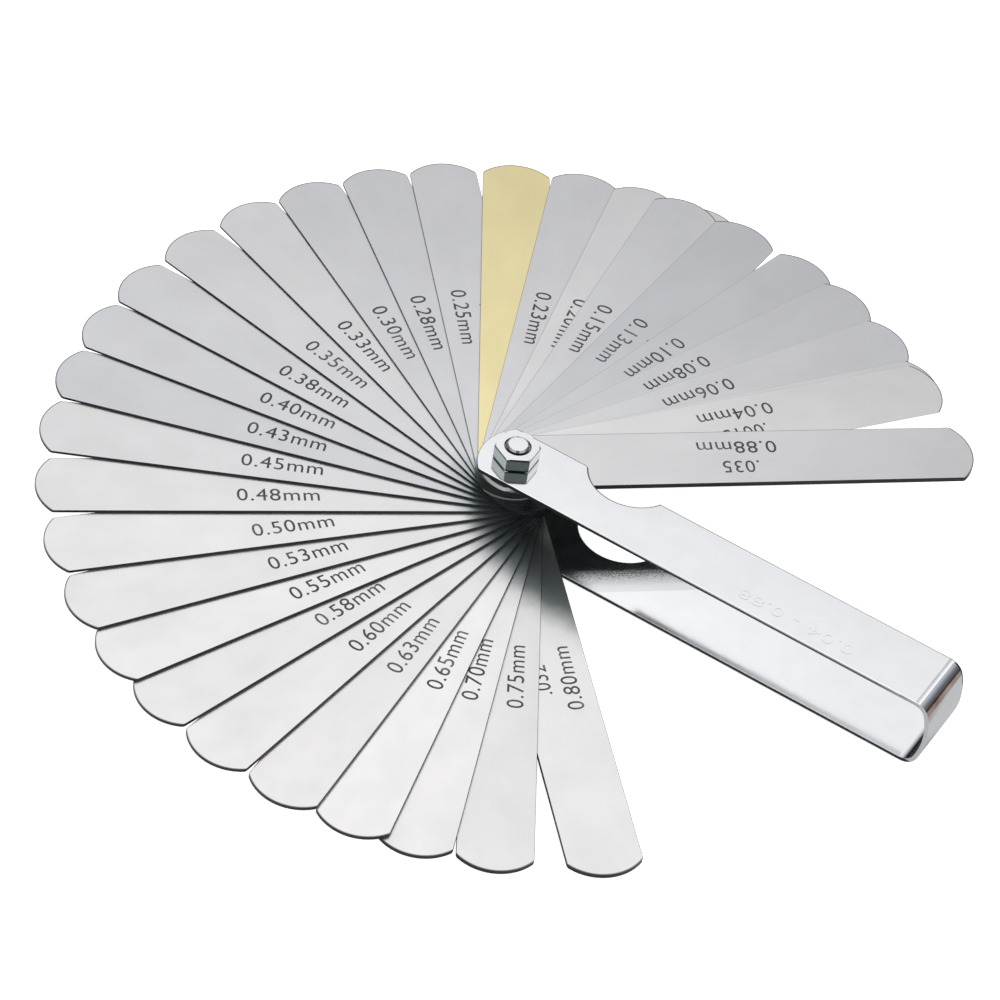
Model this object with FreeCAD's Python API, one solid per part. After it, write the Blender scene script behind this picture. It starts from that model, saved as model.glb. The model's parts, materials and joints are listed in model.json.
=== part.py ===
"""A folding feeler gauge: 32 steel and brass blades fanned out on a screw in a folded strip handle.

Frame: the screw's axis is Z, with its head's flat end face at z = 0 and the nut on top.
The handle lies along +X from the screw.  All sizes are in millimetres.
"""
import FreeCAD, Part
import os
from math import sqrt

# Blades
BLADE_LENGTH = 89.0
BLADE_WIDTH = 12.7
TIP_RADIUS = 8.6
ROOT_RADIUS = 7.5
BLADE_CORNER = 1.0
BLADE_GAP = 0.02

# Handle: one strip folded into a long U, open on both sides
SHEET = 0.8
HANDLE_WIDTH = 12.8
PLATE_END_RADIUS = 9.0
PLATE_CORNER = 1.2
END_CLEARANCE = 3.1
WEB_RADIUS = 15.2
UPPER_FOLD_RADIUS = 2.2
LOWER_FOLD_RADIUS = 2.4
EDGE_BREAK = 0.15

# Thumb notch, cut through both plates of the handle
NOTCH_RADIUS = 8.2
NOTCH_DEPTH = 4.5
NOTCH_FROM_PIVOT = 18.3
NOTCH_CORNER = 1.0

# Hexagon screw and nut, M4
SCREW_DIAMETER = 4.0
HOLE_CLEARANCE = 0.1
ACROSS_FLATS = 7.0
HEAD_HEIGHT = 2.6
HEAD_TURN = 12.0
SCREW_PROUD = 0.5
SCREW_CHAMFER = 0.3
NUT_HEIGHT = 2.9
CORNER_BEVEL = 0.16
NUT_COUNTERSINK = 0.4
NUT_TURN = 34.0

# From the nut down: node name, thickness, and the angle from the handle that it is fanned out to
BLADES = (
    ("blade_0_88", 0.88, 41.0),
    ("blade_0_04", 0.04, 53.5),
    ("blade_0_05", 0.05, 54.5),
    ("blade_0_06", 0.06, 63.0),
    ("blade_0_08", 0.08, 71.6),
    ("blade_0_10", 0.10, 79.4),
    ("blade_0_13", 0.13, 89.5),
    ("blade_0_15", 0.15, 98.4),
    ("blade_0_18", 0.18, 95.0),
    ("blade_0_20", 0.20, 104.1),
    ("blade_0_23", 0.23, 112.6),
    ("blade_0_25_brass", 0.25, 122.0),
    ("blade_0_25", 0.25, 132.0),
    ("blade_0_28", 0.28, 141.5),
    ("blade_0_30", 0.30, 151.0),
    ("blade_0_33", 0.33, 160.5),
    ("blade_0_35", 0.35, 170.5),
    ("blade_0_38", 0.38, 180.5),
    ("blade_0_40", 0.40, 190.0),
    ("blade_0_43", 0.43, 199.5),
    ("blade_0_45", 0.45, 209.0),
    ("blade_0_48", 0.48, 219.0),
    ("blade_0_50", 0.50, 229.0),
    ("blade_0_53", 0.53, 238.5),
    ("blade_0_55", 0.55, 247.5),
    ("blade_0_58", 0.58, 256.0),
    ("blade_0_60", 0.60, 265.5),
    ("blade_0_63", 0.63, 275.0),
    ("blade_0_65", 0.65, 284.0),
    ("blade_0_70", 0.70, 291.5),
    ("blade_0_75", 0.75, 301.0),
    ("blade_0_80", 0.80, 314.0),
)

# Heights that follow from those sizes
CHANNEL = sum(blade[1] for blade in BLADES) + (len(BLADES) + 1) * BLADE_GAP
LOWER_PLATE_TOP = HEAD_HEIGHT + SHEET
UPPER_PLATE_BOTTOM = LOWER_PLATE_TOP + CHANNEL
UPPER_PLATE_TOP = UPPER_PLATE_BOTTOM + SHEET
SCREW_END = UPPER_PLATE_TOP + NUT_HEIGHT + SCREW_PROUD

# Distances from the screw's axis
ROOT_REACH = BLADE_WIDTH / 2
TIP_REACH = BLADE_LENGTH - ROOT_REACH
HOLE_RADIUS = SCREW_DIAMETER / 2 + HOLE_CLEARANCE
WEB_INSIDE = TIP_REACH + END_CLEARANCE

UP = FreeCAD.Vector(0, 0, 1)

# How close two sizes are taken to be the same when an edge or a face is picked out
TOLERANCE = 0.01


def point(x, y, z=0.0):
    return FreeCAD.Vector(x, y, z)


def line(start, end):
    return Part.LineSegment(start, end).toShape()


def arc(start, middle, end):
    return Part.Arc(start, middle, end).toShape()


def middle_of_arc(centre, radius, start, end):
    """The point halfway along the arc, for an arc of less than half a turn."""
    direction = (start - centre) + (end - centre)
    return centre + direction.normalize() * radius


def round_arc(centre, radius, start, end):
    return arc(start, middle_of_arc(centre, radius, start, end), end)


def corner(big_radius, half_width, radius):
    """A corner arc that joins a straight side, half_width from the axis, to a bigger arc.

    Measured from the bigger arc's centre, it gives the corner's own centre and the two
    points where the corner meets the side and the bigger arc.
    """
    reach = big_radius - radius
    offset = half_width - radius
    along = sqrt(reach * reach - offset * offset)
    on_side = (along, half_width)
    on_arc = (along * big_radius / reach, offset * big_radius / reach)
    return (along, offset), on_side, on_arc


def rounded_end(centre_x, big_radius, half_width, radius, outwards):
    """Edges of a blunt round end, from the side at +Y to the side at -Y, facing +X or -X."""
    centre, on_side, on_arc = corner(big_radius, half_width, radius)

    def place(pair, side):
        return point(centre_x + outwards * pair[0], side * pair[1])

    tip = point(centre_x + outwards * big_radius, 0)
    return [
        round_arc(place(centre, 1), radius, place(on_side, 1), place(on_arc, 1)),
        arc(place(on_arc, 1), tip, place(on_arc, -1)),
        round_arc(place(centre, -1), radius, place(on_arc, -1), place(on_side, -1)),
    ]


def side_point(centre_x, big_radius, half_width, radius, outwards, side):
    along = corner(big_radius, half_width, radius)[1][0]
    return point(centre_x + outwards * along, side * half_width)


def blade_outline():
    half_width = BLADE_WIDTH / 2
    tip = (TIP_REACH - TIP_RADIUS, TIP_RADIUS, half_width, BLADE_CORNER, 1)
    root = (ROOT_RADIUS - ROOT_REACH, ROOT_RADIUS, half_width, BLADE_CORNER, -1)
    edges = rounded_end(*tip) + rounded_end(*root)
    edges += [line(side_point(*tip, side), side_point(*root, side)) for side in (1, -1)]
    return Part.Face(Part.Wire(Part.__sortEdges__(edges)))


def blade(outline, thickness, bottom, angle):
    body = outline.extrude(UP * thickness)
    body = body.cut(Part.makeCylinder(HOLE_RADIUS, thickness))
    body.translate(point(0, 0, bottom))
    body.rotate(point(0, 0), UP, angle)
    return body


def fold_curve(thickness):
    """The strip's face in the XZ plane, from the lower plate round to the upper one.

    A thickness of 0 gives the inside face, and the sheet's thickness gives the outside one.
    """
    middle_z = (LOWER_PLATE_TOP + UPPER_PLATE_BOTTOM) / 2
    web_radius = WEB_RADIUS + thickness
    web_centre_x = WEB_INSIDE - WEB_RADIUS
    half_height = CHANNEL / 2 + thickness
    start_x = -ROOT_REACH - SHEET

    def bend(radius, side):
        centre, on_side, on_arc = corner(web_radius, half_height, radius + thickness)
        return [point(web_centre_x + x, 0, middle_z + side * z) for x, z in (centre, on_side, on_arc)]

    low_centre, low_side, low_web = bend(LOWER_FOLD_RADIUS, -1)
    high_centre, high_side, high_web = bend(UPPER_FOLD_RADIUS, 1)
    web_centre = point(web_centre_x, 0, middle_z)
    return [
        line(point(start_x, 0, low_side.z), low_side),
        round_arc(low_centre, LOWER_FOLD_RADIUS + thickness, low_side, low_web),
        round_arc(web_centre, web_radius, low_web, high_web),
        round_arc(high_centre, UPPER_FOLD_RADIUS + thickness, high_web, high_side),
        line(high_side, point(start_x, 0, high_side.z)),
    ]


def folded_strip():
    inside = fold_curve(0.0)
    outside = fold_curve(SHEET)
    start_x = -ROOT_REACH - SHEET
    heights = (HEAD_HEIGHT, LOWER_PLATE_TOP, UPPER_PLATE_BOTTOM, UPPER_PLATE_TOP)
    ends = [point(start_x, 0, z) for z in heights]
    closing = [line(ends[0], ends[1]), line(ends[2], ends[3])]
    profile = Part.Face(Part.Wire(Part.__sortEdges__(inside + outside + closing)))
    profile.translate(point(0, -HANDLE_WIDTH / 2))
    return profile.extrude(point(0, HANDLE_WIDTH))


def handle_plan():
    """The handle seen from above: a blunt round end at the pivot, square at the fold."""
    half_width = HANDLE_WIDTH / 2
    past_fold = WEB_INSIDE + 2 * SHEET
    end = (PLATE_END_RADIUS - ROOT_REACH, PLATE_END_RADIUS, half_width, PLATE_CORNER, -1)
    upper = side_point(*end, 1)
    lower = side_point(*end, -1)
    far = [point(past_fold, half_width), point(past_fold, -half_width)]
    edges = rounded_end(*end) + [line(upper, far[0]), line(far[0], far[1]), line(far[1], lower)]
    plan = Part.Face(Part.Wire(Part.__sortEdges__(edges)))
    return plan.extrude(UP * (SCREW_END + HEAD_HEIGHT))


def handle():
    notch_centre_y = HANDLE_WIDTH / 2 - NOTCH_DEPTH + NOTCH_RADIUS
    notch = Part.makeCylinder(NOTCH_RADIUS, SCREW_END, point(NOTCH_FROM_PIVOT, notch_centre_y))
    hole = Part.makeCylinder(HOLE_RADIUS, SCREW_END)
    body = folded_strip().common(handle_plan()).cut(notch).removeSplitter()
    body = body.makeFillet(NOTCH_CORNER, notch_corners(body))
    body = body.makeFillet(EDGE_BREAK, rim_edges(body))
    return body.cut(hole)


def notch_corners(body):
    """The two upright edges where the notch starts, on its side nearer the screw."""
    def is_corner(edge):
        box = edge.BoundBox
        upright = box.XLength + box.YLength < TOLERANCE
        on_side = abs(box.YMax - HANDLE_WIDTH / 2) < TOLERANCE
        return upright and on_side and 0 < box.XMax < NOTCH_FROM_PIVOT

    return [edge for edge in body.Edges if is_corner(edge)]


def rim_edges(body):
    """The edges between the strip's broad faces and its cut sides."""
    def broad(face):
        normal = face.normalAt(*middle_of(face))
        return abs(normal.y) < 0.5 and not is_cut_end(face)

    rims = []
    for edge in body.Edges:
        faces = body.ancestorsOfType(edge, Part.Face)
        if len(faces) == 2 and broad(faces[0]) != broad(faces[1]):
            rims.append(edge)
    return rims


def middle_of(face):
    u_low, u_high, v_low, v_high = face.ParameterRange
    return (u_low + u_high) / 2, (v_low + v_high) / 2


def is_cut_end(face):
    """Whether the face stands straight up through the sheet, as the cut ends and notch do."""
    return abs(face.BoundBox.ZLength - SHEET) < TOLERANCE


def pivot_screw():
    radius = SCREW_DIAMETER / 2
    straight = SCREW_END - SCREW_CHAMFER - HEAD_HEIGHT
    shank = Part.makeCylinder(radius, straight, point(0, 0, HEAD_HEIGHT))
    tip = Part.makeCone(radius, radius - SCREW_CHAMFER, SCREW_CHAMFER, point(0, 0, HEAD_HEIGHT + straight))
    head = hexagon(HEAD_HEIGHT)
    head.rotate(point(0, 0), UP, HEAD_TURN)
    return head.fuse([shank, tip]).removeSplitter()


def clamp_nut():
    body = hexagon(NUT_HEIGHT)
    body = body.cut(Part.makeCylinder(SCREW_DIAMETER / 2, NUT_HEIGHT))
    body = body.cut(countersink(NUT_HEIGHT, -1)).cut(countersink(0.0, 1))
    body.rotate(point(0, 0), UP, NUT_TURN)
    body.translate(point(0, 0, UPPER_PLATE_TOP))
    return body


def hexagon(height):
    """A hexagonal blank that stands on z = 0, with its corners bevelled at both ends."""
    corner_radius = ACROSS_FLATS / sqrt(3)
    corners = [point(corner_radius, 0)]
    for _ in range(5):
        corners.append(FreeCAD.Rotation(UP, 60).multVec(corners[-1]))
    prism = Part.Face(Part.makePolygon(corners + corners[:1])).extrude(UP * height)
    return prism.common(bevelled_disc(corner_radius, height))


def bevelled_disc(radius, height):
    """A turned disc with both rims bevelled at 30 degrees, which rounds the corners of a hexagon."""
    face_radius = radius - CORNER_BEVEL * sqrt(3)
    outline = [
        point(0, 0, 0),
        point(face_radius, 0, 0),
        point(radius, 0, CORNER_BEVEL),
        point(radius, 0, height - CORNER_BEVEL),
        point(face_radius, 0, height),
        point(0, 0, height),
    ]
    return Part.Face(Part.makePolygon(outline + outline[:1])).revolve(point(0, 0), UP, 360)


def countersink(mouth_z, inwards):
    mouth = SCREW_DIAMETER / 2 + NUT_COUNTERSINK
    axis = UP * inwards
    return Part.makeCone(mouth, mouth - NUT_COUNTERSINK, NUT_COUNTERSINK, point(0, 0, mouth_z), axis)


def blades():
    outline = blade_outline()
    top = UPPER_PLATE_BOTTOM - BLADE_GAP
    solids = {}
    for name, thickness, angle in BLADES:
        solids[name] = blade(outline, thickness, top - thickness, angle)
        top -= thickness + BLADE_GAP
    return solids


def all_parts():
    solids = {
        "handle": handle(),
        "pivot_screw": pivot_screw(),
        "clamp_nut": clamp_nut(),
    }
    solids.update(blades())
    return solids


def main():
    os.makedirs("parts", exist_ok=True)
    for name, shape in all_parts().items():
        shape.exportStep("parts/" + name + ".step")
        box = shape.BoundBox
        print(name, shape.isValid(), len(shape.Solids), round(shape.Volume, 3),
              [round(v, 3) for v in (box.XMin, box.XMax, box.YMin, box.YMax, box.ZMin, box.ZMax)])


main()
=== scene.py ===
"""Looks of the feeler gauge: satin steel and brass blades with etched sizes, a plated handle and nut.

Everything is in metres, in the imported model's own frame.
The screw's axis is Z, and the handle lies along +X.
"""
import json
from math import cos, radians, sin

import bpy
from mathutils import Euler, Matrix, Vector


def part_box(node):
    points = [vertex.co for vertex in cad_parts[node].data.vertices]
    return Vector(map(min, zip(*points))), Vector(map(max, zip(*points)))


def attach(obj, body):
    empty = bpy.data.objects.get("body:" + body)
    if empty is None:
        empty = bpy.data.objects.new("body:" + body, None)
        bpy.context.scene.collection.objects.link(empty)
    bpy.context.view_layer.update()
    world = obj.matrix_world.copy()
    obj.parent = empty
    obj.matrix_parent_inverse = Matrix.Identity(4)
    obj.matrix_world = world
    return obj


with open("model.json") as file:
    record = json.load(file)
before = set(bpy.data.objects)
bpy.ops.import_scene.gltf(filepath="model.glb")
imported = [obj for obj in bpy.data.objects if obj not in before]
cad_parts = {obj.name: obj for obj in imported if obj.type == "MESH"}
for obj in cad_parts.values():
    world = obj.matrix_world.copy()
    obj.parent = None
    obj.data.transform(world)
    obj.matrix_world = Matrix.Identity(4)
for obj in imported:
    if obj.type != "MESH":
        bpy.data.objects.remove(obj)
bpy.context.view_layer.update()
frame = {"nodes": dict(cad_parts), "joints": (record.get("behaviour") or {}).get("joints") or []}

MM = 0.001
HANDLE_LOW, HANDLE_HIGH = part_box("handle")

# Camera: where it looks, from which side, how high, how far and how much it is rolled
LOOK_AT = Vector((0.573, -4.684, 10.85)) * MM
CAMERA_SIDE = radians(25.85)
CAMERA_HEIGHT = radians(44.48)
CAMERA_DISTANCE = 0.6645
CAMERA_ROLL = radians(9.46)
CAMERA_LENS = 137.8

# Light: the soft box, the sky, what the camera sees behind the floor, and the floor
LIGHT_PLACE = (0.2, -0.35, 1.45)
LIGHT_SIZE, LIGHT_POWER = 1.2, 3.0
SKY_STRENGTH = 1.565
BACKDROP = (0.72, 0.72, 0.72)
FLOOR_SIZE, FLOOR_GLOW = 16.0, 0.92

# What the nut's right, left and front sides mirror: azimuth, elevation and radius in degrees, and colour
NUT_REFLECTORS = (
    (70, 44, 6, (0.95, 0.95, 0.96)),
    (192, 44, 12, (0.30, 0.325, 0.33)),
    (-56, 44, 15, (0.052, 0.065, 0.067)),
)

# Etched sizes on the blades
FIGURE_HEIGHT = 2.9 * MM
FIGURE_DEPTH = 0.008 * MM
METRIC_LENGTH = 14.3 * MM
INCH_LENGTH = 6.6 * MM
FIGURES_FROM_PIVOT = 40.0 * MM
FIGURES_FURTHER_OUT = {"blade_0_04": 3.3 * MM, "blade_0_48": 1.0 * MM}
METRIC_SIDE = 2.4 * MM
INCH_SIDE = -2.4 * MM

# Raised range on the handle
STAMP_TEXT = "0.04 - 0.88"
STAMP_CENTRE = (58.0 * MM, -3.0 * MM)
STAMP_LENGTH = 22.0 * MM
STAMP_HEIGHT = 2.3 * MM
STAMP_RAISED = 0.05 * MM

# A blade's outline, and how wide the dark line along its sheared edge is, a line of painted shade on its
# face
BLADE_HALF_WIDTH = 6.35 * MM
TIP_CENTRE, TIP_RADIUS = 74.05 * MM, 8.6 * MM
SIDE_LINE = 0.08 * MM
TIP_LINE = 0.28 * MM
FULL_LINE_THICKNESS = 0.35

# Painted shade and painted dark reflection of the handle's underside on the blades by the screw: inside a
# wide circle round this centre, and fading out between these radii
PIVOT_SHADE_CENTRE, PIVOT_SHADE_EDGE = (17.5 * MM, 19.1 * MM), (32.5 * MM, 37.7 * MM)
PIVOT_SHADE_COLOR = (0.03, 0.15, 0.15)
PIVOT_SHADE_STRENGTH = 0.52

# The handle: where its fold begins, levels between and just inside its plates, and the grey line on top
FOLD_START = 80 * MM
MIDDLE_LEVEL = 10 * MM
LOWER_PLATE_LIMIT = HANDLE_LOW.z + 1.4 * MM
UPPER_PLATE_LIMIT = HANDLE_HIGH.z - 0.15 * MM
BURR_HEIGHT = 0.25 * MM
NOTCH_CENTRE, NOTCH_RADIUS = (18.3 * MM, 10.1 * MM), 8.2 * MM
PLATE_LINE = 0.28 * MM

# Painted dark reflection of the blades' shaded undersides inside the lower plate: the slanting direction it
# is measured in, where it fades out, and the dished and the rough stretch beyond it
SLANT = (0.656, -0.755)
PLATE_REFLECTION_EDGE = (14.2 * MM, 16.4 * MM)
PLATE_REFLECTION_COLOR = (0.072, 0.098, 0.095)
DISHED_STRETCH = (12.5 * MM, 19.5 * MM)
ROUGH_START, ROUGH_END = (13.5 * MM, 14.5 * MM), (17.5 * MM, 19.5 * MM)

# How light each blade's strip is, where it isn't 1
TONES = {
    "blade_0_88": 0.97, "blade_0_04": 1.03, "blade_0_05": 0.97, "blade_0_06": 0.93, "blade_0_08": 0.90,
    "blade_0_10": 0.87, "blade_0_13": 0.855, "blade_0_15": 0.93, "blade_0_20": 0.985, "blade_0_23": 0.93,
    "blade_0_25": 0.92, "blade_0_28": 0.90, "blade_0_30": 0.91, "blade_0_33": 0.96, "blade_0_35": 0.94,
    "blade_0_38": 0.92, "blade_0_40": 0.91, "blade_0_43": 0.87, "blade_0_45": 0.96, "blade_0_50": 1.055,
    "blade_0_53": 1.025, "blade_0_55": 1.06, "blade_0_58": 1.02, "blade_0_60": 1.04, "blade_0_63": 1.035,
    "blade_0_65": 1.11, "blade_0_70": 1.085, "blade_0_75": 1.02, "blade_0_80": 1.085,
}

# The cool and the warm colour of each metal, and the tones that have just the one or just the other
STEEL = ((0.7374, 0.745, 0.770), (0.759, 0.745, 0.7395))
BRASS = ((0.855, 0.765, 0.45), (0.868, 0.765, 0.425))
COOL_TONE, WARM_TONE = 0.86, 1.02
BRASS_TONE = 1.02

# Colours of the sheared edges, the plating, the zinc and the marks on the handle, some of them painted light
# and shade
# Sheared edges: their dull cut colour, deepened with painted shade
STEEL_EDGE, BRASS_EDGE = (0.02, 0.021, 0.023), (0.10, 0.08, 0.03)
PLATING, ZINC = (0.90, 0.905, 0.915), (0.90, 0.905, 0.91)
# The light colour on the lower plate's edge is a painted reflection of the floor
EDGE_FLOOR_REFLECTION, SHEARED_EDGE = (0.85, 0.85, 0.85), (0.03, 0.03, 0.033)
# The fold's brown band is a painted reflection of the brown room
GREY_LINE, FOLD_BROWN_REFLECTION = (0.20, 0.20, 0.205), (0.33, 0.225, 0.175)
# The fold's inside corner colour is painted shade
BACK_EDGE, FOLD_RIM, FOLD_CORNER_SHADE = (0.12, 0.12, 0.125), (0.02, 0.02, 0.02), (0.04, 0.042, 0.044)

# The inch size on each steel blade
INCHES = {
    "blade_0_88": ".035", "blade_0_04": ".0015", "blade_0_05": ".002", "blade_0_06": ".0025",
    "blade_0_08": ".003", "blade_0_10": ".004", "blade_0_13": ".005", "blade_0_15": ".006",
    "blade_0_18": ".007", "blade_0_20": ".008", "blade_0_23": ".009", "blade_0_25": ".010",
    "blade_0_28": ".011", "blade_0_30": ".012", "blade_0_33": ".013", "blade_0_35": ".014",
    "blade_0_38": ".015", "blade_0_40": ".016", "blade_0_43": ".017", "blade_0_45": ".018",
    "blade_0_48": ".019", "blade_0_50": ".020", "blade_0_53": ".021", "blade_0_55": ".022",
    "blade_0_58": ".023", "blade_0_60": ".024", "blade_0_63": ".025", "blade_0_65": ".026",
    "blade_0_70": ".028", "blade_0_75": ".030", "blade_0_80": ".032",
}

# Blades whose root end carries a painted highlight at its edge, where the others are dark
ROOT_EDGE_HIGHLIGHTS = {
    "blade_0_88": (0.95, 0.95, 0.95),
    "blade_0_10": (0.5, 0.51, 0.5),
    "blade_0_28": (0.4, 0.41, 0.4),
}


# ---------------------------------------------------------------- materials

class Nodes:
    """A small helper that adds and links the nodes of one material or world."""

    def __init__(self, owner):
        owner.use_nodes = True
        self.tree = owner.node_tree
        self.tree.nodes.clear()

    def add(self, kind, **values):
        node = self.tree.nodes.new("ShaderNode" + kind)
        for name, value in values.items():
            setattr(node, name, value)
        return node

    def link(self, source, target):
        self.tree.links.new(source, target)

    def parts(self, vector):
        """The X, Y and Z of a vector."""
        node = self.add("SeparateXYZ")
        self.link(vector, node.inputs[0])
        return tuple(node.outputs)

    def number(self, operation, first, second=0.0):
        """One step of arithmetic on two numbers, each of them a value or a socket."""
        node = self.add("Math", operation=operation)
        for socket, value in zip(node.inputs, (first, second)):
            if isinstance(value, (int, float)):
                socket.default_value = value
            else:
                self.link(value, socket)
        return node.outputs[0]

    def times(self, first, *others):
        for other in others:
            first = self.number("MULTIPLY", first, other)
        return first

    def above(self, value, limit):
        return self.number("GREATER_THAN", value, limit)

    def below(self, value, limit):
        return self.number("LESS_THAN", value, limit)

    def ramp(self, factor, stops):
        """The colour at this factor between stops, each of them a position and a colour."""
        node = self.add("ValToRGB")
        while len(node.color_ramp.elements) < len(stops):
            node.color_ramp.elements.new(0.5)
        for element, (position, color) in zip(node.color_ramp.elements, stops):
            element.position = position
            element.color = (*color, 1.0)
        self.link(factor, node.inputs["Fac"])
        return node.outputs["Color"]

    def mapped(self, turn=0.0, scale=(1, 1, 1), shift=(0, 0, 0)):
        """Coordinates on the object, turned about Z and then scaled."""
        place = self.add("TexCoord")
        turned = self.add("Mapping")
        turned.inputs["Rotation"].default_value = (0, 0, turn)
        turned.inputs["Location"].default_value = shift
        scaled = self.add("Mapping")
        scaled.inputs["Scale"].default_value = scale
        self.link(place.outputs["Object"], turned.inputs["Vector"])
        self.link(turned.outputs["Vector"], scaled.inputs["Vector"])
        return scaled.outputs["Vector"]

    def noise(self, vector, scale, detail=2.0, roughness=0.5):
        node = self.add("TexNoise")
        node.inputs["Scale"].default_value = scale
        node.inputs["Detail"].default_value = detail
        node.inputs["Roughness"].default_value = roughness
        self.link(vector, node.inputs["Vector"])
        return node.outputs["Fac"]

    def spread(self, value, low, high, source=(0.3, 0.7)):
        """The value carried over from the source range to the one from low to high, and held inside it."""
        node = self.add("MapRange")
        node.inputs["From Min"].default_value = source[0]
        node.inputs["From Max"].default_value = source[1]
        node.inputs["To Min"].default_value = low
        node.inputs["To Max"].default_value = high
        self.link(value, node.inputs["Value"])
        return node.outputs["Result"]

    def tinted(self, color, factor):
        """A colour times a number that varies over the surface."""
        node = self.add("VectorMath", operation="SCALE")
        if isinstance(color, tuple):
            node.inputs[0].default_value = color
        else:
            self.link(color, node.inputs[0])
        self.link(factor, node.inputs["Scale"])
        return node.outputs["Vector"]

    def mix(self, factor, first, second, blend="MIX"):
        """The first colour where the factor is 0 and the second, or their blend, where it is 1."""
        node = self.add("Mix", data_type="RGBA", blend_type=blend)
        self.link(factor, node.inputs["Factor"])
        for socket, value in ((node.inputs[6], first), (node.inputs[7], second)):
            if isinstance(value, tuple):
                socket.default_value = (*value, 1.0)
            else:
                self.link(value, socket)
        return node.outputs[2]

    def bump(self, height, strength, distance, over=None):
        """The normal tilted by this height, on top of another bump where there is one."""
        node = self.add("Bump")
        node.inputs["Strength"].default_value = strength
        node.inputs["Distance"].default_value = distance
        self.link(height, node.inputs["Height"])
        if over is not None:
            self.link(over, node.inputs["Normal"])
        return node.outputs["Normal"]

    def surface(self, **sockets):
        """The Principled shader, with a value or a link for each named socket."""
        shader = self.add("BsdfPrincipled")
        for name, value in sockets.items():
            socket = shader.inputs[name.replace("_", " ")]
            if isinstance(value, (int, float)):
                socket.default_value = value
            elif isinstance(value, tuple):
                socket.default_value = (*value, 1.0)
            else:
                self.link(value, socket)
        out = self.add("OutputMaterial")
        self.link(shader.outputs["BSDF"], out.inputs["Surface"])


class Skin(Nodes):
    """The nodes of a material that changes with the place on the object and the way the surface faces."""

    def __init__(self, owner):
        super().__init__(owner)
        self.x, self.y, self.z = self.parts(self.mapped())
        normal = self.add("NewGeometry").outputs["Normal"]
        self.facing_x, self.facing_y, self.facing_z = self.parts(normal)

    def away_from(self, centre):
        """The distance from this centre, seen from above."""
        off = [self.number("SUBTRACT", at, middle) for at, middle in zip((self.x, self.y), centre)]
        return self.number("SQRT", self.number("ADD", *(self.times(part, part) for part in off)))


def outline_line(n, turn, side_strength):
    """Up to 1 on the blade's faces beside its sides and along its tip, and 0 inside: where a line of painted
    shade goes.
    """
    along, across, _ = n.parts(n.mapped(turn))
    reach = n.number("MAXIMUM", n.number("SUBTRACT", along, TIP_CENTRE))
    from_centre = n.number("SQRT", n.number("ADD", n.times(reach, reach), n.times(across, across)))
    past_tip = n.number("SUBTRACT", from_centre, TIP_RADIUS)
    past_side = n.number("SUBTRACT", n.number("ABSOLUTE", across), BLADE_HALF_WIDTH)
    tip = n.spread(past_tip, 0.0, 0.8, (-TIP_LINE, -TIP_LINE * 0.4))
    side = n.spread(past_side, 0.0, side_strength, (-SIDE_LINE, -SIDE_LINE * 0.6))
    return n.number("MAXIMUM", tip, side)


def strip_face(n, colors, tone, cloud, grain, smudge):
    """The face of a rolled strip: clouds between its two colours, fine grain, and painted shade and dark
    reflection near the screw.
    """
    clouded = n.number("ADD", n.spread(cloud, tone * 0.965, tone * 1.035), n.spread(grain, -0.012, 0.012))
    lighter_inside = n.spread(n.away_from((0.0, 0.0)), 1.07, 0.99, (20 * MM, 75 * MM))
    warmth = (tone - COOL_TONE) / (WARM_TONE - COOL_TONE)
    metal = n.mix(n.spread(smudge, warmth - 0.25, warmth + 0.25), *colors)
    ragged = n.number("ADD", n.away_from(PIVOT_SHADE_CENTRE), n.spread(smudge, -1.5 * MM, 1.5 * MM))
    shaded_side = n.spread(n.y, 1.0, 0.0, (-4 * MM, -1 * MM))
    # Painted shade and dark reflection by the screw, only on the side under the handle
    painted_dark = n.times(n.spread(ragged, PIVOT_SHADE_STRENGTH, 0.0, PIVOT_SHADE_EDGE), shaded_side)
    return n.mix(painted_dark, n.tinted(metal, n.times(clouded, lighter_inside)), PIVOT_SHADE_COLOR)


def strip_edge(n, edge_color, root_edge, strength, streak):
    """The sheared edge: dark and streaked, its dull cut colour deepened with painted shade, paler on a thin
    blade, and the root edge's colour at the root end, a painted highlight on some blades.
    """
    faded = tuple(part + (0.5 - part) * (1.0 - strength) for part in edge_color)
    streaked = n.tinted(faded, n.spread(streak, 0.5, 2.2))
    at_root = n.spread(n.away_from((0.0, 0.0)), 1.0, 0.0, (7.2 * MM, 8.2 * MM))
    return n.mix(at_root, streaked, root_edge)


def rolled_strip(name, colors, edge_color, turn, seed, tone, thickness, root_edge):
    """Satin rolled strip, with grain along the blade, dark outlines of painted shade, painted shade by the
    screw and sheared edges.
    """
    material = bpy.data.materials.new(name)
    n = Skin(material)
    shift = (seed * 0.137, seed * 0.071, 0)
    cloud = n.noise(n.mapped(turn, (1, 1.6, 1), shift), 70.0, 3.0, 0.55)
    grain = n.noise(n.mapped(turn, (18, 900, 1), shift), 4.0, 2.0, 0.6)
    smudge = n.noise(n.mapped(turn, (1, 1, 1), shift), 160.0, 4.0, 0.6)
    streak = n.noise(n.mapped(turn, (20, 20, 900), shift), 5.0, 2.0, 0.6)
    edge_strength = min(1.0, 0.1 + thickness / FULL_LINE_THICKNESS)
    face = strip_face(n, colors, tone, cloud, grain, smudge)
    # The dark line along the blade's outline is painted shade
    face = n.mix(outline_line(n, turn, edge_strength), face, edge_color)
    flat = n.above(n.number("ABSOLUTE", n.facing_z), 0.6)
    n.surface(
        Base_Color=n.mix(flat, strip_edge(n, edge_color, root_edge, edge_strength, streak), face),
        Metallic=n.spread(flat, 0.2, 1.0, (0, 1)),
        Roughness=n.number("ADD", n.spread(smudge, 0.30, 0.35), n.spread(grain, -0.015, 0.015)),
        Normal=n.bump(grain, 0.05, 0.00002),
    )
    return material


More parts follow.
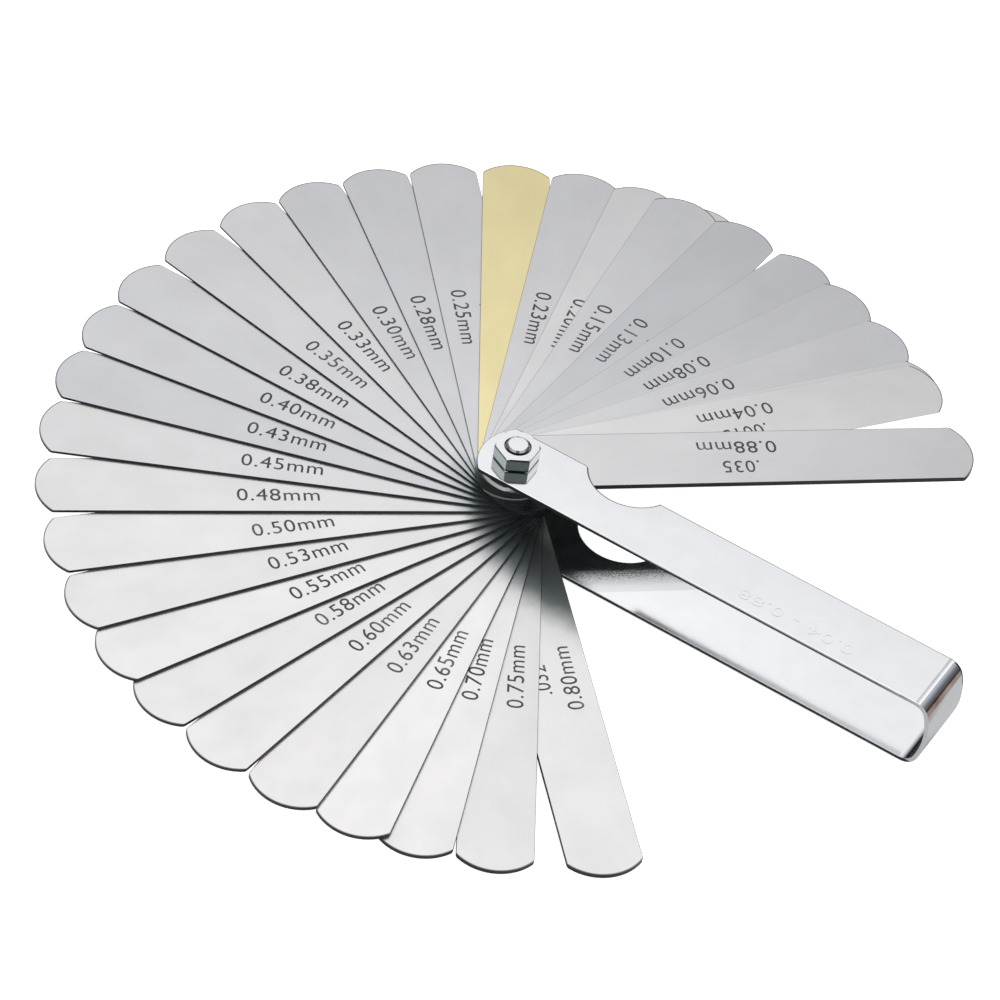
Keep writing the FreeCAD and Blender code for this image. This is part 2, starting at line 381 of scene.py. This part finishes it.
def handle_cuts(n, color):
    """Where the handle's sheet is cut, and its colour there: dark on the plates and bright on the fold."""
    steep = n.below(n.number("ABSOLUTE", n.facing_z), 0.75)
    sideways = n.above(n.number("ABSOLUTE", n.facing_y), 0.35)
    cut = n.times(steep, n.number("MAXIMUM", sideways, n.below(n.x, FOLD_START - 2 * MM)))
    along = n.spread(n.x, 0.0, 1.0, (0.0, FOLD_START + 4 * MM))
    upper = n.ramp(along, [(0.0, (0.012,) * 3), (0.45, (0.03,) * 3), (0.9, (0.16,) * 3), (1.0, (0.85,) * 3)])
    raised = n.number("ADD", n.z, n.spread(n.x, -BURR_HEIGHT, 0.0, (8 * MM, 30 * MM)))
    burr = n.times(n.above(raised, HANDLE_HIGH.z - BURR_HEIGHT), n.below(n.x, FOLD_START))
    # The lower plate's cut edge: a light foot, a painted reflection of the floor, under a dark band
    lower = n.mix(n.above(n.z, HANDLE_LOW.z + BURR_HEIGHT), EDGE_FLOOR_REFLECTION, SHEARED_EDGE)
    return cut, n.mix(n.below(n.z, HANDLE_LOW.z + 1 * MM), n.mix(burr, upper, color), lower)


def plate_reflection(n, speck):
    """Inside the lower plate: where a dark reflection is painted, how far the plate is dished, and where its
    colour is darker, a painted dimmer reflection.
    """
    inside = n.times(n.above(n.facing_z, 0.9), n.below(n.z, LOWER_PLATE_LIMIT))
    slant = n.number("ADD", n.times(n.x, SLANT[0]), n.times(n.y, SLANT[1]))
    ragged = n.number("ADD", slant, n.spread(speck, -1.1 * MM, 1.1 * MM, (0.4, 0.6)))
    # Painted dark reflection of the blades' shaded undersides
    painted_dark = n.times(inside, n.spread(ragged, 0.9, 0.0, PLATE_REFLECTION_EDGE))
    band = n.times(n.spread(slant, 0.0, 1.0, ROUGH_START), n.spread(slant, 1.0, 0.0, ROUGH_END))
    dished = n.spread(slant, 1.0, 0.0, DISHED_STRETCH)
    dish = n.times(inside, n.number("ADD", dished, n.times(band, speck, 0.05)))
    # A darker colour near the screw, a painted dimmer reflection
    dimmed_reflection = n.times(inside, n.below(slant, DISHED_STRETCH[1]), 0.40)
    return painted_dark, dish, dimmed_reflection


def grey_line(n):
    """A thin grey line on the upper plate, along its far side and the notch."""
    by_notch = n.times(n.below(n.away_from(NOTCH_CENTRE), NOTCH_RADIUS + PLATE_LINE), n.above(n.y, 0.0))
    by_side = n.times(n.above(n.y, HANDLE_HIGH.y - PLATE_LINE), 0.6)
    on_top = n.times(n.above(n.facing_z, 0.9), n.above(n.z, UPPER_PLATE_LIMIT))
    return n.times(on_top, n.number("MAXIMUM", by_notch, by_side))


def fold_marks(n):
    """Round the fold: a brown band by its slope, a painted reflection, wider at the front, its black rim,
    and the lower fold's dark inside, painted shade.
    """
    at_fold = n.above(n.x, FOLD_START)
    slope = n.number("ADD", n.facing_z, n.times(n.y, -8.0))
    band = n.times(n.spread(n.facing_z, 1.0, 0.0, (0.68, 0.8)), n.spread(slope, 0.0, 1.0, (0.27, 0.38)))
    # A brown band by the fold's slope, a painted reflection
    brown_reflection = n.times(at_fold, n.above(n.facing_x, 0.3), band)
    rim = n.times(at_fold, n.above(n.y, HANDLE_HIGH.y - 0.45 * MM))
    rim = n.times(rim, n.above(n.facing_z, 0.2), n.below(n.facing_z, 0.93))
    # The lower fold's dark inside corner, painted shade
    corner = n.times(at_fold, n.spread(n.facing_x, 1.0, 0.0, (-0.5, -0.3)))
    corner = n.times(corner, n.above(n.facing_z, 0.1), n.below(n.z, HANDLE_LOW.z + 4 * MM))
    return brown_reflection, rim, corner


def plated_strip(name, color):
    """The handle's plating, with dark cut edges, a painted brown reflection on the fold and a painted dark
    reflection inside by the screw.
    """
    material = bpy.data.materials.new(name)
    n = Skin(material)
    slow = n.noise(n.mapped(scale=(1, 1.5, 1)), 60.0, 1.0, 0.4)
    marks = n.noise(n.mapped(0.4, (30, 700, 30)), 3.0, 2.0, 0.6)
    haze = n.noise(n.mapped(), 220.0, 3.0, 0.6)
    speck = n.noise(n.mapped(scale=(1, 2, 1)), 2600.0, 3.0, 0.7)
    cut, cut_color = handle_cuts(n, color)
    painted_dark, dish, dimmed_reflection = plate_reflection(n, speck)
    brown_reflection, rim, corner = fold_marks(n)

    # How light the plating is: lighter towards the fold and on the lower plate, darker on the end wall, and
    # darker inside the lower plate by the screw, a painted dimmer reflection
    lower = n.times(n.below(n.z, LOWER_PLATE_LIMIT), 1.07)
    lightened = n.number("MAXIMUM", n.spread(n.x, 1.0, 1.08, (25 * MM, FOLD_START + 2 * MM)), lower)
    end_wall = n.times(n.above(n.x, FOLD_START), n.spread(n.facing_x, 0.0, 0.13, (0.85, 0.95)))
    tone = n.number("SUBTRACT", lightened, n.number("MAXIMUM", end_wall, dimmed_reflection))
    coat = n.tinted(color, n.times(n.spread(haze, 0.98, 1.02), tone))

    # The marks, each painted over the ones before it
    coat = n.mix(grey_line(n), coat, GREY_LINE)
    # Painted dark reflection inside the lower plate by the screw
    coat = n.mix(painted_dark, coat, PLATE_REFLECTION_COLOR)
    # The fold's brown band, a painted reflection
    coat = n.mix(n.times(brown_reflection, n.spread(haze, 0.6, 1.0)), coat, FOLD_BROWN_REFLECTION)
    # The lower fold's inside corner, painted shade
    coat = n.mix(corner, coat, FOLD_CORNER_SHADE)
    coat = n.mix(cut, coat, cut_color)
    back_edge = n.times(n.above(n.facing_y, 0.12), n.above(n.facing_z, 0.1), n.below(n.facing_z, 0.995))
    coat = n.mix(n.times(back_edge, n.above(n.z, MIDDLE_LEVEL)), coat, BACK_EDGE)
    coat = n.mix(rim, coat, FOLD_RIM)

    rough = n.number("ADD", n.spread(haze, 0.072, 0.117), n.spread(marks, -0.01, 0.02))
    n.surface(
        Base_Color=coat,
        Metallic=n.spread(cut, 1.0, 0.3, (0, 1)),
        Roughness=n.number("ADD", rough, n.times(cut, 0.3)),
        Normal=n.bump(dish, 1.0, 0.00045, n.bump(slow, 0.12, 0.0002)),
    )
    return material


def fastener_plate(name, color):
    """Bright zinc plate on the screw and the nut, with painted shade along the foot and the top of the nut's
    sides.
    """
    material = bpy.data.materials.new(name)
    n = Skin(material)
    slow = n.noise(n.mapped(scale=(1, 1.5, 1)), 60.0, 1.0, 0.4)
    haze = n.noise(n.mapped(), 220.0, 3.0, 0.6)
    low, high = (corner.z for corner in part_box("clamp_nut"))
    # Painted shade: dark where the sides meet the plate and under the top bevel, bright between
    up_side = n.ramp(n.spread(n.z, 0.0, 1.0, (low, high)), [
        (0.0, (0.03,) * 3), (0.10, (0.05,) * 3), (0.15, (0.95,) * 3),
        (0.80, (1.0,) * 3), (0.88, (0.30,) * 3), (1.0, (0.1,) * 3),
    ])
    side = n.below(n.number("ABSOLUTE", n.facing_z), 0.7)
    bright = n.tinted(color, n.spread(haze, 0.98, 1.02))
    n.surface(
        Base_Color=n.mix(side, bright, up_side, "MULTIPLY"),
        Metallic=1.0,
        Roughness=n.spread(haze, 0.1, 0.15),
        Normal=n.bump(slow, 0.05, 0.0002),
    )
    return material


def etched_ink(name):
    """Blackened figures, worn paler in places."""
    material = bpy.data.materials.new(name)
    n = Nodes(material)
    wear = n.noise(n.mapped(), 420.0, 3.0, 0.7)
    patch = n.noise(n.mapped(), 90.0, 2.0, 0.5)
    faded = n.number("ADD", n.spread(wear, 0.0, 0.6), n.spread(patch, -0.1, 0.5))
    black, grey, pale = (0.045, 0.045, 0.05), (0.10, 0.10, 0.105), (0.30, 0.30, 0.31)
    n.surface(
        Base_Color=n.ramp(faded, [(0.0, black), (0.6, grey), (1.0, pale)]),
        Metallic=0.1,
        Roughness=n.spread(wear, 0.45, 0.65),
    )
    return material


# ---------------------------------------------------------------- pieces

def letters(text, length, height, depth):
    """A closed mesh of the text, centred at the origin, with its foot at z = 0."""
    curve = bpy.data.curves.new("figures", "FONT")
    curve.body = text
    curve.size = 1.0
    curve.space_character = 1.08
    curve.offset = 0.001
    curve.align_x = "CENTER"
    curve.resolution_u = 6
    curve.extrude = 0.5
    holder = bpy.data.objects.new("figures", curve)
    bpy.context.scene.collection.objects.link(holder)
    bpy.context.view_layer.update()
    mesh = bpy.data.meshes.new_from_object(holder)
    bpy.data.objects.remove(holder)
    low = Vector([min(v.co[i] for v in mesh.vertices) for i in range(3)])
    high = Vector([max(v.co[i] for v in mesh.vertices) for i in range(3)])
    size = high - low
    centre = (low + high) / 2
    scale = Matrix.Diagonal((length / size.x, height / size.y, depth / size.z, 1.0))
    mesh.transform(scale @ Matrix.Translation((-centre.x, -centre.y, -low.z)))
    return mesh


def joined(name, placed):
    """One object made of several meshes, each with its own place."""
    mesh = bpy.data.meshes.new(name)
    points, faces = [], []
    for part, place in placed:
        first = len(points)
        points += [place @ v.co for v in part.vertices]
        faces += [[first + i for i in face.vertices] for face in part.polygons]
    mesh.from_pydata(points, [], faces)
    mesh.update()
    piece = bpy.data.objects.new(name, mesh)
    bpy.context.scene.collection.objects.link(piece)
    return piece


def mark_blade(node, angle, ink):
    """The size in millimetres and in inches, etched on the blade's upper face."""
    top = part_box(node)[1].z
    upside = Matrix.Rotation(angle + radians(180), 4, "Z")
    size = node.split("_", 1)[1].replace("_", ".") + "mm"
    reach = FIGURES_FROM_PIVOT + FIGURES_FURTHER_OUT.get(node, 0.0)

    def place(side):
        spot = Matrix.Rotation(angle, 4, "Z") @ Vector((reach, side, top))
        return Matrix.Translation(spot) @ upside

    placed = [(letters(size, METRIC_LENGTH, FIGURE_HEIGHT, FIGURE_DEPTH), place(METRIC_SIDE))]
    inch_length = INCH_LENGTH * (len(INCHES[node]) - 0.5) / 3.5
    placed.append((letters(INCHES[node], inch_length, FIGURE_HEIGHT, FIGURE_DEPTH), place(INCH_SIDE)))
    piece = joined("marking" + node[5:], placed)
    piece.data.materials.append(ink)
    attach(piece, node + "_body")


def stamp_handle(plate):
    """The range of sizes, raised a little from the handle's upper plate."""
    place = Matrix.Translation((*STAMP_CENTRE, HANDLE_HIGH.z)) @ Matrix.Rotation(radians(180), 4, "Z")
    piece = joined("handle_range", [(letters(STAMP_TEXT, STAMP_LENGTH, STAMP_HEIGHT, STAMP_RAISED), place)])
    piece.data.materials.append(plate)
    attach(piece, "handle_body")


def paint(node, material):
    """Give a CAD node this one material."""
    piece = frame["nodes"][node]
    piece.data.materials.clear()
    piece.data.materials.append(material)


def dress_gauge():
    """Paint the CAD nodes, and add the figures on the blades and on the handle."""
    plate = plated_strip("bright_plate", PLATING)
    zinc = fastener_plate("fastener_steel", ZINC)
    ink = etched_ink("marking_ink")
    paint("handle", plate)
    for node in ("pivot_screw", "clamp_nut"):
        paint(node, zinc)
    for number, joint in enumerate(frame["joints"]):
        node = joint["child"].removesuffix("_body")
        angle = -radians(joint["range_deg"][0])
        low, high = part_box(node)
        thickness = (high.z - low.z) / MM
        # A painted highlight on some blades' root edges
        root_edge = ROOT_EDGE_HIGHLIGHTS.get(node, STEEL_EDGE)
        if node == "blade_0_25_brass":
            metal = ("brass_strip", BRASS, BRASS_EDGE)
            tone = BRASS_TONE
        else:
            metal = ("steel" + node[5:], STEEL, STEEL_EDGE)
            tone = TONES.get(node, 1.0)
            mark_blade(node, angle, ink)
        paint(node, rolled_strip(*metal, -angle, number, tone, thickness, root_edge))
    stamp_handle(plate)


# ---------------------------------------------------------------- studio

def studio_world():
    """A soft sky: bright high up behind the gauge, paler panels and reflectors round it, and a dim room."""
    world = bpy.data.worlds.new("studio")
    bpy.context.scene.world = world
    n = Nodes(world)
    direction = n.add("TexCoord").outputs["Generated"]

    def facing(side, height):
        """The cosine of the angle from the direction at this azimuth and elevation, in degrees."""
        dot = n.add("VectorMath", operation="DOT_PRODUCT")
        n.link(direction, dot.inputs[0])
        side, height = radians(side), radians(height)
        dot.inputs[1].default_value = (cos(side) * cos(height), sin(side) * cos(height), sin(height))
        return dot.outputs["Value"]

    def patch(side, height, outer, inner, strength=1.0):
        """The strength within the inner radius of this direction, in degrees, and 0 past the outer one."""
        return n.spread(facing(side, height), 0.0, strength, (cos(radians(outer)), cos(radians(inner))))

    sky = n.ramp(facing(134, 62), [
        (0.0, (0.012, 0.013, 0.014)),
        (0.26, (0.026, 0.026, 0.029)),
        (0.50, (0.08, 0.08, 0.088)),
        (0.64, (0.16, 0.16, 0.172)),
        (0.77, (0.23, 0.232, 0.245)),
        (0.866, (0.33, 0.334, 0.346)),
        (0.906, (0.44, 0.444, 0.454)),
        (0.94, (0.62, 0.623, 0.631)),
        (0.965, (0.90, 0.90, 0.905)),
        (1.0, (1.0, 1.0, 1.0)),
    ])
    sky = n.mix(patch(82, 47, 19, 11), sky, (0.53, 0.535, 0.545))
    sky = n.mix(patch(93, 46, 4, 2.5, 0.7), sky, (0.2, 0.21, 0.22))
    # A soft fill from the camera's side, and three small reflectors for the sides of the nut
    sky = n.mix(patch(-46, 30, 95, 60), sky, (0.30, 0.303, 0.31), "LIGHTEN")
    for side, height, radius, color in NUT_REFLECTORS:
        sky = n.mix(patch(side, height, radius, radius * 0.75), sky, color)
    # The room beyond the end of the handle, in bands from the floor up
    room = n.ramp(n.parts(direction)[2], [
        (0.0, (0.13, 0.10, 0.09)),
        (0.10, (0.055, 0.038, 0.034)),
        (0.24, (0.125, 0.092, 0.082)),
        (0.38, (0.062, 0.072, 0.088)),
        (0.55, (0.17, 0.19, 0.22)),
        (0.66, (0.30, 0.315, 0.34)),
    ])
    sky = n.mix(patch(50, 20, 34, 28), sky, room)
    background = n.add("Background")
    background.inputs["Strength"].default_value = SKY_STRENGTH
    seen = n.add("LightPath").outputs["Is Camera Ray"]
    n.link(n.mix(seen, sky, BACKDROP), background.inputs["Color"])
    out = n.add("OutputWorld")
    n.link(background.outputs["Background"], out.inputs["Surface"])


def studio_floor():
    """A pale floor that the camera sees lit up, as in a light tent, and that is shaded under the gauge."""
    half = FLOOR_SIZE / 2
    corners = [(-half, -half, 0), (half, -half, 0), (half, half, 0), (-half, half, 0)]
    mesh = bpy.data.meshes.new("floor")
    mesh.from_pydata(corners, [], [(0, 1, 2, 3)])
    floor = bpy.data.objects.new("floor", mesh)
    bpy.context.scene.collection.objects.link(floor)
    material = bpy.data.materials.new("floor")
    n = Nodes(material)
    shade = n.spread(n.noise(n.mapped(), 3.0, 1.0), 0.895, 0.905)
    glow = n.times(n.add("LightPath").outputs["Is Camera Ray"], FLOOR_GLOW)
    n.surface(
        Base_Color=n.tinted((1.0, 1.0, 1.0), shade),
        Roughness=0.9,
        Emission_Color=(1.0, 1.0, 1.0),
        Emission_Strength=glow,
    )
    mesh.materials.append(material)


def studio_light():
    """One square soft box, above and a little in front, that faces the gauge."""
    light = bpy.data.lights.new("softbox", "AREA")
    light.shape = "SQUARE"
    light.size = LIGHT_SIZE
    light.energy = LIGHT_POWER
    lamp = bpy.data.objects.new("softbox", light)
    lamp.location = LIGHT_PLACE
    lamp.rotation_mode = "QUATERNION"
    lamp.rotation_quaternion = (-lamp.location).to_track_quat("-Z", "Y")
    bpy.context.scene.collection.objects.link(lamp)


def studio_camera():
    """The camera, aimed at LOOK_AT from its side and height, and rolled about its own view."""
    data = bpy.data.cameras.new("camera")
    data.lens = CAMERA_LENS
    data.sensor_width = 36.0
    data.clip_start = 0.01
    data.clip_end = 50.0
    camera = bpy.data.objects.new("camera", data)
    back = Vector((
        sin(CAMERA_SIDE) * cos(CAMERA_HEIGHT),
        -cos(CAMERA_SIDE) * cos(CAMERA_HEIGHT),
        sin(CAMERA_HEIGHT),
    ))
    aim = (-back).to_track_quat("-Z", "Y").to_matrix().to_4x4()
    roll = Euler((0, 0, CAMERA_ROLL)).to_matrix().to_4x4()
    camera.matrix_world = Matrix.Translation(LOOK_AT + back * CAMERA_DISTANCE) @ aim @ roll
    bpy.context.scene.collection.objects.link(camera)
    bpy.context.scene.camera = camera


dress_gauge()
studio_world()
studio_floor()
studio_light()
studio_camera()
bpy.context.scene.view_settings.view_transform = "Standard"
